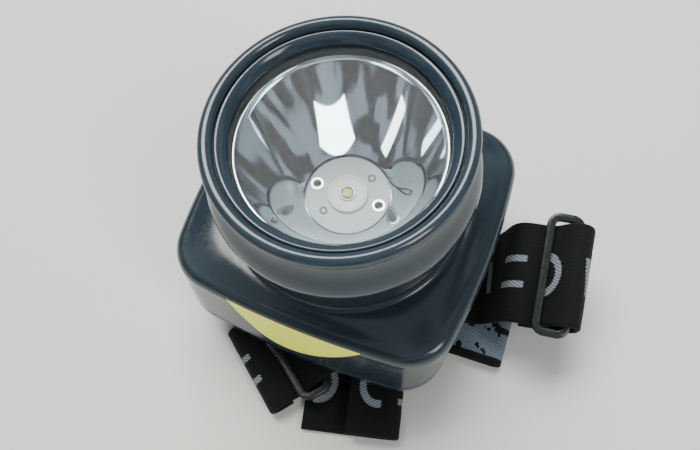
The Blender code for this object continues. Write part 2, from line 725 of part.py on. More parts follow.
def main():
    clear_scene()
    finishes = make_materials()
    front, rear = make_housing(finishes)
    make_crescent(front, finishes["crescent"])
    make_lamp_head(finishes)
    make_emitter(finishes)
    make_power(finishes)
    make_button(front, finishes)
    make_port(front, finishes)
    make_bracket(rear, finishes)
    make_strap(finishes)


main()
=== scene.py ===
"""Looks of the cordless cap lamp: smooth mouldings, mirror reflector, woven strap and soft studio light.

Lengths in this script are millimetres in the row frame and are scaled to metres when a mesh is made.
"""

import math

import bmesh
import bpy
from mathutils import Matrix, Vector


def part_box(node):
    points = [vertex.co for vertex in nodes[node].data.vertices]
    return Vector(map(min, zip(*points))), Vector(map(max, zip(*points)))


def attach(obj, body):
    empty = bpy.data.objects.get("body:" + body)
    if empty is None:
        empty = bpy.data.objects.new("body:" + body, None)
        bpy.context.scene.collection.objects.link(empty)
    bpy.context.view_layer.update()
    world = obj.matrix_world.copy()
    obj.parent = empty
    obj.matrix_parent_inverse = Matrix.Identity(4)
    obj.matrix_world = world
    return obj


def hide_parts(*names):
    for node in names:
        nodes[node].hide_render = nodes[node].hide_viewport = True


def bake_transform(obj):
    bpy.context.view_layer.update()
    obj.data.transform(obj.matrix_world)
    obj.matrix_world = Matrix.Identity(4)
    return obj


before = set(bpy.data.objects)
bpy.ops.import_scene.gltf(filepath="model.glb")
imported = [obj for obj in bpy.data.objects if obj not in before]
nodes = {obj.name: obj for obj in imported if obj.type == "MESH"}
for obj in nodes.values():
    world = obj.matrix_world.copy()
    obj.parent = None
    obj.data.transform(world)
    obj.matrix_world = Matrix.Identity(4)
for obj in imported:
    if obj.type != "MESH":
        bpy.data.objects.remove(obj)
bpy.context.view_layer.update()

MM = 0.001


def top_of(node):
    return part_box(node)[1].z / MM


def reach_of(node):
    """Half of a round node's width along X."""
    low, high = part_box(node)
    return (high.x - low.x) / 2 / MM


# Housing, as in the CAD
BODY_X, BODY_Y = 69.4, 62.4
BODY_CORNER, BODY_BULGE = 11.6, 1.3
BODY_CENTRE = Vector((0.0, -1.2))
SEAM_Z, SHOULDER_Z, FACE_EDGE_Z, FACE_NECK_Z = 15.7, 30.6, 33.7, 35.2
BACK_Z, FACE_INSET, WALL, WALL_DRAFT = 9.5, 2.6, 1.7, 1.0
FLARE = 3.2  # outward reach of the crescent's wall at the seam
OUTSIDE_Y = BODY_CENTRE.y + BODY_Y / 2 + BODY_BULGE
BUTTON_X, BUTTON_Z, INDICATOR_X = -8.0, 23.0, 8.0
PORT_PAD_X, PORT_Y, PORT_Z = -36.6, 11.0, 23.2

# Lamp head, partly read from the imported nodes
NECK_R = 27.3
CUP_SKIRT_R = reach_of("head_cup")
CUP_SKIRT_Z = 51.0
CUP_TOP_R, CUP_TOP_Z = 26.7, top_of("head_cup")
BEZEL_R = reach_of("bezel_ring")
BEZEL_TUBE = 1.45
BEZEL_Z = top_of("bezel_ring") - BEZEL_TUBE
LENS_R = reach_of("lens")
LENS_TOP_Z = top_of("lens")
LIP_R = 22.5
BOARD_R, BOARD_Z = reach_of("led_board"), top_of("led_board")
MOUTH_R, BASE_R = 21.5, 10.3
MOUTH_Z, BASE_Z = 59.5, 36.4

# Strap and sliders
STRAP_W, STRAP_T = 24.8, 1.4
FLAT_BELOW_Z = 9.0
TABLE_LAYER = 0.75
SLIDER_U, SLIDER_V, SLIDER_BAR = 9.3, 30.5, 2.1

ROUND_STEPS, SMALL_STEPS = 144, 48


# ---------------------------------------------------------------- materials


class Graph:
    """Short calls for a material's nodes. Each returns the socket that it makes."""

    def __init__(self, name):
        self.material = bpy.data.materials.new(name)
        self.material.use_nodes = True
        self.tree = self.material.node_tree
        self.shader = self.tree.nodes["Principled BSDF"]

    def put(self, socket, value):
        if isinstance(value, bpy.types.NodeSocket):
            self.tree.links.new(value, socket)
        else:
            socket.default_value = value

    def node(self, kind, inputs=(), **settings):
        made = self.tree.nodes.new(kind)
        for key, value in settings.items():
            setattr(made, key, value)
        for key, value in dict(inputs).items():
            self.put(made.inputs[key], value)
        return made

    def math(self, operation, a, b=0.0, c=0.0):
        return self.node("ShaderNodeMath", {0: a, 1: b, 2: c}, operation=operation).outputs[0]

    def noise(self, vector, scale, detail=2.0):
        inputs = {"Vector": vector, "Scale": scale, "Detail": detail}
        return self.node("ShaderNodeTexNoise", inputs).outputs["Fac"]

    def ramp(self, value, low, high, out_low, out_high):
        inputs = {0: value, 1: low, 2: high, 3: out_low, 4: out_high}
        return self.node("ShaderNodeMapRange", inputs).outputs[0]

    def mix(self, share, first, second):
        made = self.node("ShaderNodeMix", data_type="RGBA")
        self.put(made.inputs["Factor"], share)
        self.put(made.inputs["A"], first)
        self.put(made.inputs["B"], second)
        return made.outputs["Result"]

    def place(self):
        return self.node("ShaderNodeTexCoord").outputs["Object"]

    def bump(self, height, distance, strength=1.0):
        inputs = {"Height": height, "Distance": distance, "Strength": strength}
        return self.node("ShaderNodeBump", inputs).outputs[0]

    def set(self, **sockets):
        for key, value in sockets.items():
            self.put(self.shader.inputs[key.replace("_", " ")], value)
        return self.material


def rgb(r, g, b):
    return (r, g, b, 1.0)


def moulded(name, colour, roughness, wear=0.12, coat=0.0, grain=0.00001):
    """Moulded plastic: faint colour drift, fine scuffs in the gloss and a slight surface ripple."""
    g = Graph(name)
    drift = g.noise(g.place(), 60.0, 3.0)
    scuff = g.noise(g.place(), 900.0, 4.0)
    lighter = rgb(*(min(1.0, c * (1.0 + wear) + 0.002) for c in colour))
    darker = rgb(*(c * (1.0 - wear) for c in colour))
    return g.set(
        Base_Color=g.mix(drift, darker, lighter),
        Roughness=g.ramp(scuff, 0.3, 0.75, roughness * 0.8, roughness * 1.35),
        Coat_Weight=coat,
        Coat_Roughness=0.06,
        Normal=g.bump(scuff, grain, 0.5),
    )


def metal(name, colour, roughness, scratch_scale=1500.0):
    g = Graph(name)
    scratches = g.noise(g.place(), scratch_scale, 5.0)
    return g.set(
        Base_Color=g.mix(scratches, rgb(*(c * 0.9 for c in colour)), rgb(*colour)),
        Metallic=1.0,
        Roughness=g.ramp(scratches, 0.3, 0.7, roughness * 0.75, roughness * 1.3),
        Normal=g.bump(scratches, 0.000005, 0.4),
    )


def mirror():
    """Vacuum-metallised bowl, with faint radial haze and a few specks."""
    g = Graph("reflector_mirror")
    haze = g.noise(g.place(), 45.0, 4.0)
    specks = g.noise(g.place(), 420.0, 2.0)
    tint = g.mix(haze, rgb(0.60, 0.68, 0.72), rgb(0.84, 0.90, 0.93))
    return g.set(
        Base_Color=g.mix(g.ramp(specks, 0.70, 0.74, 0.0, 0.35), tint, rgb(0.4, 0.42, 0.43)),
        Metallic=1.0,
        Roughness=g.ramp(haze, 0.3, 0.8, 0.025, 0.07),
        Normal=g.bump(haze, 0.00004, 0.25),
    )


def clear_lens():
    g = Graph("lens_clear")
    smudge = g.noise(g.place(), 90.0, 3.0)
    return g.set(
        Base_Color=rgb(0.30, 0.34, 0.36),
        Roughness=g.ramp(smudge, 0.35, 0.8, 0.02, 0.09),
        Alpha=0.05,
        IOR=1.58,
    )


def yellow_film_painted_glow():
    """Inlay film with a fine prismatic grain, and a painted glow: its emission brightens the yellow, most where it sits
    in shade.
    """
    g = Graph("yellow_film_painted_glow")
    grain = g.node("ShaderNodeTexVoronoi", {"Vector": g.place(), "Scale": 2200.0}).outputs["Distance"]
    drift = g.noise(g.place(), 70.0)
    return g.set(
        Base_Color=g.mix(drift, rgb(0.70, 0.73, 0.06), rgb(0.80, 0.82, 0.11)),
        Roughness=g.ramp(grain, 0.0, 0.8, 0.3, 0.42),
        # Painted light: the film is no lamp, and this emission lifts its brightness where the housing shades it.
        Emission_Color=rgb(0.72, 0.76, 0.05),
        Emission_Strength=0.5,
        Normal=g.bump(grain, 0.00002, 0.3),
    )


def woven(name, reverse):
    """Black elastic webbing with woven grey figures. UV is millimetres along and across, over 10.

    The figures are a plain repeat of half rings, bars and dashes. The reverse shows the loose grey
    threads between black selvages, with the figures as black patches.
    """
    g = Graph(name)
    uv = g.node("ShaderNodeSeparateXYZ", {0: g.node("ShaderNodeUVMap").outputs[0]})
    along = g.math("MULTIPLY", uv.outputs[0], 10.0)
    across = g.math("MULTIPLY", uv.outputs[1], 10.0)
    thread = g.math("SINE", g.math("MULTIPLY", g.math("ADD", across, g.math("MULTIPLY", along, 0.6)), 8.0))
    weft = g.math("SINE", g.math("MULTIPLY", along, 11.0))
    warp = g.math("SINE", g.math("MULTIPLY", across, 7.0))
    fray = g.math("MULTIPLY", thread, 0.16)
    u = g.math("ADD", along, fray)
    pitch = 9.4
    cell = g.math("FLOOR", g.math("DIVIDE", u, pitch))
    local = g.math("SUBTRACT", g.math("SUBTRACT", u, g.math("MULTIPLY", cell, pitch)), pitch / 2)
    kind = g.math("MODULO", g.math("ADD", cell, 60.0), 3.0)
    v = g.math("ADD", across, g.math("MULTIPLY", weft, 0.08))

    def near(value, middle, half):
        return g.math("COMPARE", value, middle, half)

    radius = g.math("SQRT", g.math("ADD", g.math("POWER", g.math("ADD", local, 1.6), 2.0),
                                   g.math("MULTIPLY", g.math("POWER", v, 2.0), 0.8)))
    half_ring = g.math("MULTIPLY", near(radius, 4.0, 0.85), g.math("GREATER_THAN", local, -2.6))
    slanted = g.math("ADD", local, g.math("MULTIPLY", v, 0.12))
    bar = g.math("MULTIPLY", near(slanted, 0.0, 0.9), near(v, 0.0, 4.4))
    dash_pair = g.math("MULTIPLY", near(local, 0.0, 2.9), near(g.math("ABSOLUTE", v), 3.2, 0.8))
    figure = g.math("MULTIPLY", near(kind, 0.0, 0.5), half_ring)
    figure = g.math("ADD", figure, g.math("MULTIPLY", near(kind, 1.0, 0.5), bar))
    figure = g.math("ADD", figure, g.math("MULTIPLY", near(kind, 2.0, 0.5), dash_pair))
    yarn = g.ramp(g.math("ADD", thread, g.noise(g.place(), 1500.0)), -0.6, 1.6, 0.25, 1.0)
    black = g.mix(g.noise(g.place(), 700.0, 3.0), rgb(0.0022, 0.0028, 0.0028), rgb(0.007, 0.0085, 0.0085))
    grey = g.mix(yarn, rgb(0.06, 0.075, 0.09), rgb(0.34, 0.38, 0.42))
    if reverse:
        blots = g.math("GREATER_THAN", g.noise(g.place(), 160.0, 3.0), 0.60)
        selvage = g.math("GREATER_THAN", g.math("ABSOLUTE", v), 10.6)
        dark = g.math("MAXIMUM", g.math("MAXIMUM", figure, blots), selvage)
        loose = g.mix(yarn, rgb(0.05, 0.075, 0.095), rgb(0.21, 0.27, 0.32))
        colour = g.mix(dark, loose, black)
    else:
        colour = g.mix(figure, black, grey)
    ribs = g.math("ADD", g.math("MULTIPLY", weft, 0.5), g.math("MULTIPLY", warp, 0.6))
    height = g.math("ADD", ribs, g.math("MULTIPLY", figure, g.math("ADD", thread, 1.2)))
    return g.set(
        Base_Color=colour,
        Roughness=0.85,
        Sheen_Weight=0.05,
        Specular_IOR_Level=0.25,
        Sheen_Roughness=0.5,
        Normal=g.bump(height, 0.00004, 0.7),
    )


def make_materials():
    return {
        "housing": moulded("housing_gloss", (0.022, 0.037, 0.048), 0.19, 0.10, 0.1),
        "head": moulded("head_gloss", (0.030, 0.050, 0.068), 0.13, 0.10, 0.1),
        "lens": clear_lens(),
        "mirror": mirror(),
        "seal": moulded("seal_rubber", (0.012, 0.012, 0.012), 0.6, 0.2, 0.0, 0.00004),
        "board": moulded("board_white", (0.40, 0.46, 0.47), 0.3),
        "circuit": moulded("circuit_green", (0.02, 0.13, 0.06), 0.4),
        "led": moulded("led_white", (0.62, 0.66, 0.64), 0.25),
        "phosphor": moulded("phosphor", (0.72, 0.66, 0.12), 0.45),
        "contact": metal("contact_ring", (0.75, 0.75, 0.72), 0.2),
        "aluminium": metal("turned_aluminium", (0.6, 0.62, 0.63), 0.3),
        "steel": metal("plated_steel", (0.52, 0.53, 0.54), 0.28),
        "cell": moulded("cell_sleeve", (0.03, 0.15, 0.35), 0.35),
        "component": moulded("black_component", (0.010, 0.010, 0.011), 0.4),
        "button": moulded("soft_rubber", (0.012, 0.013, 0.014), 0.62, 0.25, 0.0, 0.00005),
        "crescent": yellow_film_painted_glow(),
        "strap_face": woven("strap_face", False),
        "strap_back": woven("strap_back", True),
        "buckle": moulded("buckle_nylon", (0.014, 0.017, 0.018), 0.26, 0.15),
    }


# ---------------------------------------------------------------- mesh helpers


def finish_mesh(name, mesh, finishes, smooth_angle=32.0):
    """Turn a bmesh in millimetres into an object in metres with outward faces."""
    bmesh.ops.recalc_face_normals(mesh, faces=mesh.faces)
    bmesh.ops.scale(mesh, vec=(MM, MM, MM), verts=mesh.verts)
    data = bpy.data.meshes.new(name)
    mesh.to_mesh(data)
    mesh.free()
    for finish in finishes:
        data.materials.append(finish)
    data.shade_smooth()
    data.set_sharp_from_angle(angle=math.radians(smooth_angle))
    obj = bpy.data.objects.new(name, data)
    bpy.context.scene.collection.objects.link(obj)
    return obj


def loft(name, loops, finish, ring=False, smooth_angle=32.0):
    mesh = bmesh.new()
    rows = [[mesh.verts.new(point) for point in loop] for loop in loops]
    pairs = list(zip(rows, rows[1:]))
    if ring:
        pairs.append((rows[-1], rows[0]))
    for lower, upper in pairs:
        count = len(lower)
        for i in range(count):
            j = (i + 1) % count
            mesh.faces.new((lower[i], lower[j], upper[j], upper[i]))
    if not ring:
        mesh.faces.new(rows[0])
        mesh.faces.new(rows[-1])
    return finish_mesh(name, mesh, [finish], smooth_angle)


def circle(radius, z, count=ROUND_STEPS, centre=(0.0, 0.0)):
    turn = 2 * math.pi / count
    return [
        Vector((centre[0] + radius * math.cos(i * turn), centre[1] + radius * math.sin(i * turn), z))
        for i in range(count)
    ]


def turned(name, profile, finish, count=ROUND_STEPS, centre=(0.0, 0.0), ring=False):
    return loft(name, [circle(r, z, count, centre) for r, z in profile], finish, ring)


def arc(centre_r, centre_z, radius, start, end, steps):
    points = []
    for i in range(steps + 1):
        angle = math.radians(start + (end - start) * i / steps)
        points.append((centre_r + radius * math.cos(angle), centre_z + radius * math.sin(angle)))
    return points


def box(name, size, finish, bevel=0.0, segments=4):
    mesh = bmesh.new()
    bmesh.ops.create_cube(mesh, size=1.0)
    bmesh.ops.scale(mesh, vec=size, verts=mesh.verts)
    if bevel:
        bmesh.ops.bevel(mesh, geom=mesh.edges[:], offset=bevel, segments=segments, profile=0.5, affect="EDGES")
    return finish_mesh(name, mesh, [finish] if finish else [])


def place(obj, at, turn=(0.0, 0.0, 0.0)):
    """Set the position in millimetres and the rotation in degrees."""
    obj.location = Vector(at) * MM
    obj.rotation_euler = [math.radians(angle) for angle in turn]
    return obj


def cut(target, tools, operation="DIFFERENCE"):
    """Apply boolean tools to a piece and remove them."""
    for tool in tools:
        modifier = target.modifiers.new(tool.name, "BOOLEAN")
        modifier.operation = operation
        modifier.object = tool
    graph = bpy.context.evaluated_depsgraph_get()
    data = bpy.data.meshes.new_from_object(target.evaluated_get(graph))
    target.modifiers.clear()
    target.data = data
    for tool in tools:
        bpy.data.objects.remove(tool, do_unlink=True)
    data.shade_smooth()
    data.set_sharp_from_angle(angle=math.radians(30.0))
    return target


def settle(obj, body, slot, *stands_for):
    """Ride a finished piece on its body and hide the CAD nodes it stands for. The slot argument is not used."""
    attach(obj, body)
    if stands_for:
        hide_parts(*stands_for)
    return obj


# ---------------------------------------------------------------- housing


def side_radius(corner_offset):
    return (corner_offset**2 + 2 * BODY_CORNER * BODY_BULGE + BODY_BULGE**2) / (2 * BODY_BULGE)


def flare(z):
    """Outward reach of the -Y wall at a height."""
    return FLARE * min(max((SHOULDER_Z - z) / (SHOULDER_Z - SEAM_Z), 0.0), 1.0)


def body_outline(inset, z, corner_steps=16, side_steps=16):
    """The housing outline moved inwards by inset: four bulging sides joined by round corners.

    The -Y side leans outwards below the shoulder, and the lean fades towards the middle.
    """
    half_x, half_y = BODY_X / 2, BODY_Y / 2
    corner_x, corner_y = half_x - BODY_CORNER, half_y - BODY_CORNER
    radius_x, radius_y = side_radius(corner_y), side_radius(corner_x)
    sides = [
        (half_x + BODY_BULGE - radius_x, 0.0, radius_x, 0.0, corner_y),
        (0.0, half_y + BODY_BULGE - radius_y, radius_y, 90.0, corner_x),
        (radius_x - half_x - BODY_BULGE, 0.0, radius_x, 180.0, corner_y),
        (0.0, radius_y - half_y - BODY_BULGE, radius_y, 270.0, corner_x),
    ]
    corners = [
        (corner_x, corner_y),
        (-corner_x, corner_y),
        (-corner_x, -corner_y),
        (corner_x, -corner_y),
    ]
    points = []
    for k, (cx, cy, radius, heading, offset) in enumerate(sides):
        spread = math.degrees(math.asin(offset / (radius - BODY_CORNER)))
        for i in range(side_steps):
            angle = math.radians(heading - spread + 2 * spread * i / side_steps)
            reach = radius - inset
            points.append((cx + reach * math.cos(angle), cy + reach * math.sin(angle)))
        next_radius, next_offset = sides[(k + 1) % 4][2], sides[(k + 1) % 4][4]
        next_spread = math.degrees(math.asin(next_offset / (next_radius - BODY_CORNER)))
        start, end = heading + spread, heading + 90.0 - next_spread
        for i in range(corner_steps):
            angle = math.radians(start + (end - start) * i / corner_steps)
            reach = BODY_CORNER - inset
            points.append((corners[k][0] + reach * math.cos(angle), corners[k][1] + reach * math.sin(angle)))
    outline = []
    for x, y in points:
        share = min(max(-y / half_y, 0.0), 1.0)
        y -= flare(z) * share**2 * (3 - 2 * share)
        outline.append(Vector((x + BODY_CENTRE.x, y + BODY_CENTRE.y, z)))
    return outline


def circle_facing(outline, radius, z):
    points = []
    for point in outline:
        angle = math.atan2(point.y, point.x)
        points.append(Vector((radius * math.cos(angle), radius * math.sin(angle), z)))
    return points


def wall_inset(z):
    return WALL_DRAFT * (SHOULDER_Z - z) / (SHOULDER_Z - SEAM_Z)


def cylinder(name, radius, length, finish=None, count=SMALL_STEPS):
    return turned(name, [(radius, 0.0), (radius, length)], finish, count)


def make_front_shell(finish, crescent_finish):
    """Glossy face, round shoulder, side walls and the neck under the lamp head."""
    rim = SEAM_Z + 0.12
    loops = [body_outline(wall_inset(rim) + 0.25, rim), body_outline(wall_inset(rim), rim + 0.25)]
    for share in (0.33, 0.66, 0.9):
        z = rim + (SHOULDER_Z - rim) * share
        loops.append(body_outline(wall_inset(z), z))
    rise = (FACE_EDGE_Z - SHOULDER_Z) / FACE_INSET
    for inset, z in arc(-FACE_INSET, SHOULDER_Z, FACE_INSET, 0.0, 90.0, 14):
        loops.append(body_outline(-inset, SHOULDER_Z + (z - SHOULDER_Z) * rise))
    edge = loops[-1]
    fillet = arc(NECK_R + 1.3, FACE_NECK_Z + 1.3, 1.3, 270.0, 180.0, 8)
    neck = circle_facing(edge, fillet[0][0], FACE_NECK_Z)
    for share in (0.15, 0.3, 0.45, 0.6, 0.75, 0.9):
        crown = FACE_EDGE_Z + (FACE_NECK_Z - FACE_EDGE_Z) * math.sin(share * math.pi / 2)
        loops.append([Vector((*(a.lerp(b, share)).xy, crown)) for a, b in zip(edge, neck)])
    loops += [circle_facing(edge, r, z) for r, z in fillet]
    roof = SHOULDER_Z + 0.9
    loops.append(circle_facing(edge, NECK_R, CUP_SKIRT_Z - 0.6))
    loops.append(circle_facing(edge, NECK_R - 2.0, CUP_SKIRT_Z - 0.6))
    loops.append(circle_facing(edge, NECK_R - 2.0, roof))
    loops.append(body_outline(WALL + 1.6, roof))
    loops.append(body_outline(WALL, SHOULDER_Z - 1.5))
    loops.append(body_outline(WALL + wall_inset(rim), rim))
    shell = loft("front_shell_smooth", loops, finish, ring=True)
    pad = place(box("port_pad", (4.0, 13.0, 12.6), finish, 0.8), (PORT_PAD_X + 2.0, PORT_Y, PORT_Z))
    cut(shell, [pad], "UNION")
    bore = place(cylinder("bore", 7.05, 9.0), (BUTTON_X, OUTSIDE_Y + 3.0, BUTTON_Z), (90.0, 0.0, 0.0))
    window = place(cylinder("window", 1.65, 9.0), (INDICATOR_X, OUTSIDE_Y + 3.0, BUTTON_Z), (90.0, 0.0, 0.0))
    socket = place(cylinder("socket", 3.5, 8.0), (PORT_PAD_X - 3.0, PORT_Y, PORT_Z), (0.0, 90.0, 0.0))
    pocket = crescent_slab("pocket", 0.12, -3.0, 0.9, None)
    cut(shell, [bore, window, socket, pocket])
    settle(shell, "lamp", "housing", "front_shell")
    inlay = crescent_slab("crescent_inlay", 0.0, 0.05, 0.65, crescent_finish)
    settle(inlay, "lamp", "crescent", "reflective_crescent")


def crescent_slab(name, grow, outer, inner, finish):
    """A crescent on the -Y wall just below the shoulder, between two depths below the surface."""
    half_width, depth, lowest_x, steps = 16.6, 14.3, -3.0, 64
    top_z = SHOULDER_Z + 1.3
    radius_y = side_radius(BODY_X / 2 - BODY_CORNER)
    centre_y = BODY_CENTRE.y - BODY_Y / 2 - BODY_BULGE + radius_y
    loops = []
    for i in range(steps + 1):
        x = -(half_width + grow) * math.cos(math.pi * i / steps)
        side = half_width + grow + (lowest_x if x < lowest_x else -lowest_x)
        share = min(abs(x - lowest_x) / side, 1.0)
        low = top_z - grow - depth * (1.0 - share**2) - 0.15
        high = top_z + grow
        points = []
        levels = [low + (high - low) * k / 6 for k in range(7)]
        for z, sink in [(z, outer) for z in levels] + [(z, inner) for z in reversed(levels)]:
            lean = 0.0
            if z > SHOULDER_Z:
                lean = FACE_INSET * (1 - math.sqrt(max(0.0, 1 - ((z - SHOULDER_Z) / 3.1) ** 2)))
            reach = radius_y - max(wall_inset(min(z, SHOULDER_Z)), 0.0) - sink - lean
            points.append(Vector((x, centre_y - math.sqrt(reach**2 - x**2) - flare(z), z)))
        loops.append(points)
    return loft(name, loops, finish, smooth_angle=40.0)


def make_rear_cover(finish):
    rim = SEAM_Z - 0.12
    base = wall_inset(rim)
    loops = [body_outline(base + 5.0, BACK_Z)]
    for offset, lift in ((2.6, 0.0), (1.9, 0.1), (1.2, 0.5), (0.7, 0.9), (0.4, 1.4), (0.1, 2.2), (0.0, 3.0)):
        loops.append(body_outline(base + offset, BACK_Z + lift))
    loops.append(body_outline(base, rim - 0.25))
    loops.append(body_outline(base + 0.25, rim))
    loops.append(body_outline(base + WALL, rim))
    loops.append(body_outline(base + WALL, BACK_Z + 2.2))
    loops.append(body_outline(base + WALL + 0.5, BACK_Z + 1.6))
    cover = loft("rear_cover_smooth", loops, finish)
    wells = []
    for sx in (1, -1):
        for sy in (1, -1):
            x = sx * (BODY_X / 2 - 9.6) + BODY_CENTRE.x
            y = sy * (BODY_Y / 2 - 9.6) + BODY_CENTRE.y
            wells.append(place(cylinder("well", 3.0, 2.4), (x, y, BACK_Z - 1.0)))
    cut(cover, wells)
    settle(cover, "lamp", "housing", "rear_cover")


def make_seam(finish):
    """The housing gasket shows as a dark line in the seam."""
    inset = wall_inset(SEAM_Z)
    loops = [
        body_outline(inset + 0.3, SEAM_Z - 0.14),
        body_outline(inset + 0.3, SEAM_Z + 0.14),
        body_outline(inset + 1.6, SEAM_Z + 0.14),
        body_outline(inset + 1.6, SEAM_Z - 0.14),
    ]
    settle(loft("seam_gasket", loops, finish, ring=True), "lamp", "seal", "housing_gasket")


# ---------------------------------------------------------------- lamp head


def make_cup(finish):
    skirt = [
        (CUP_TOP_R, CUP_TOP_Z),
        (CUP_TOP_R - 0.3, CUP_TOP_Z - 0.5),
        (CUP_TOP_R - 0.35, CUP_TOP_Z - 1.2),
        (CUP_TOP_R - 0.15, CUP_TOP_Z - 2.4),
        (CUP_TOP_R + 0.45, CUP_TOP_Z - 4.0),
        (CUP_TOP_R + 1.2, CUP_TOP_Z - 5.6),
        (CUP_SKIRT_R - 1.0, CUP_SKIRT_Z + 3.0),
        (CUP_SKIRT_R - 0.35, CUP_SKIRT_Z + 1.5),
        (CUP_SKIRT_R - 0.02, CUP_SKIRT_Z + 0.6),
        (CUP_SKIRT_R - 0.1, CUP_SKIRT_Z + 0.2),
        (CUP_SKIRT_R - 0.6, CUP_SKIRT_Z),
        (24.7, CUP_SKIRT_Z),
        (24.7, CUP_TOP_Z),
    ]
    settle(turned("cup_smooth", skirt, finish, ring=True), "lamp", "housing", "head_cup")


def make_bezel(finish):
    """Rolled outer lip, a fine groove, and a band that slopes in to the lens."""
    tube_r = BEZEL_R - BEZEL_TUBE
    profile = [
        (LIP_R, LENS_TOP_Z + 0.5),
        (LIP_R, BEZEL_Z - 2.0),
        (LIP_R + 0.12, BEZEL_Z - 1.7),
        (LIP_R + 0.5, BEZEL_Z - 1.25),
        (23.6, BEZEL_Z - 0.35),
        (24.15, BEZEL_Z - 0.02),
        (24.5, BEZEL_Z + 0.02),
        (24.75, BEZEL_Z - 0.18),
        (24.85, BEZEL_Z - 0.8),
        (25.0, BEZEL_Z - 0.95),
        (25.12, BEZEL_Z - 0.8),
    ]
    profile += arc(tube_r, BEZEL_Z, BEZEL_TUBE, 172.0, -30.0, 24)
    profile += [
        (BEZEL_R - 0.35, BEZEL_Z - 1.6),
        (BEZEL_R - 0.5, BEZEL_Z - 2.4),
        (CUP_TOP_R + 0.1, CUP_TOP_Z + 0.3),
        (LENS_R + 0.5, CUP_TOP_Z + 0.3),
        (LENS_R + 0.5, LENS_TOP_Z + 0.5),
    ]
    settle(turned("bezel_smooth", profile, finish, ring=True), "lamp", "housing", "bezel_ring")


def make_reflector(finishes):
    """Paraboloid bowl with a rolled bright lip under the lens."""
    slope = (MOUTH_Z - 1.0 - BASE_Z) / (MOUTH_R**2 - BASE_R**2)
    steps = 48
    bowl = []
    for i in range(steps + 1):
        radius = BASE_R + (MOUTH_R - BASE_R) * i / steps
        bowl.append((radius, BASE_Z + slope * (radius**2 - BASE_R**2)))
    lip = arc(MOUTH_R + 0.5, MOUTH_Z - 0.55, 0.5, 180.0, 0.0, 10)
    profile = bowl + lip + [(MOUTH_R + 1.0, MOUTH_Z - 1.2), (BASE_R + 3.0, BASE_Z + 1.0), (BASE_R + 0.6, BASE_Z - 0.2)]
    piece = turned("reflector_bowl", profile, finishes["mirror"], ring=True)
    settle(piece, "lamp", "mirror", "reflector")


def make_lens(finish):
    low = LENS_TOP_Z - 2.0
    profile = [(LENS_R - 0.3, low), (LENS_R, low + 0.3), (LENS_R, LENS_TOP_Z - 0.3), (LENS_R - 0.3, LENS_TOP_Z)]
    settle(turned("lens_clear_disc", profile, finish), "lamp", "lens", "lens")


def make_emitter(finishes):
    """White board with two wire holes, the package's moulded ring, its bright cup and the yellow die."""
    board = turned(
        "star_board",
        [(BOARD_R - 0.1, BOARD_Z - 1.6), (BOARD_R, BOARD_Z - 1.5), (BOARD_R, BOARD_Z - 0.1), (BOARD_R - 0.1, BOARD_Z)],
        finishes["board"],
    )
    holes = [place(cylinder("wire_hole", 0.95, 6.0), (x, 0.0, BOARD_Z - 4.0)) for x in (-7.8, 7.8)]
    cut(board, holes)
    settle(board, "lamp", "board", "led_board")
    for index, x in enumerate((-7.8, 7.8), 1):
        ring = [(1.05, BOARD_Z + 0.02), (1.05, BOARD_Z + 0.1), (1.5, BOARD_Z + 0.1), (1.5, BOARD_Z + 0.02)]
        pad = turned(f"solder_ring_{index}", ring, finishes["contact"], SMALL_STEPS, (x, 0.0), ring=True)
        settle(pad, "lamp", "board")
    for index, angle in enumerate((58.0, 238.0), 1):
        x, y = 6.9 * math.cos(math.radians(angle)), 6.9 * math.sin(math.radians(angle))
        ring = [(0.6, BOARD_Z + 0.02), (0.6, BOARD_Z + 0.09), (0.95, BOARD_Z + 0.09), (0.95, BOARD_Z + 0.02)]
        pad = turned(f"contact_pad_{index}", ring, finishes["component"], SMALL_STEPS, (x, y), ring=True)
        settle(pad, "lamp", "board")
    base = BOARD_Z + 0.1
    package = [(4.75, base)] + arc(4.5, base + 0.45, 0.25, 0.0, 90.0, 6)
    package += [(4.1, base + 0.7), (3.9, base + 0.55), (2.5, base + 0.5), (2.1, base + 0.5), (2.0, base + 0.1)]
    settle(turned("led_package_ring", package, finishes["led"]), "lamp", "led", "led_package")
    halo = arc(1.75, base + 0.62, 0.22, 0.0, 360.0, 12)[:-1]
    settle(turned("led_bright_ring", halo, finishes["contact"], SMALL_STEPS, ring=True), "lamp", "led")
    die = place(box("led_die", (2.0, 2.0, 0.3), finishes["phosphor"], 0.08), (0.0, 0.0, base + 0.75), (0.0, 0.0, 12.0))
    settle(die, "lamp", "led")
    dome = [(2.1, base + 0.7)] + arc(0.0, base + 0.8, 2.1, 4.0, 84.0, 14)
    settle(turned("led_dome_clear", dome, finishes["lens"], SMALL_STEPS), "lamp", "lens", "led_dome")


# ---------------------------------------------------------------- button, port, bracket


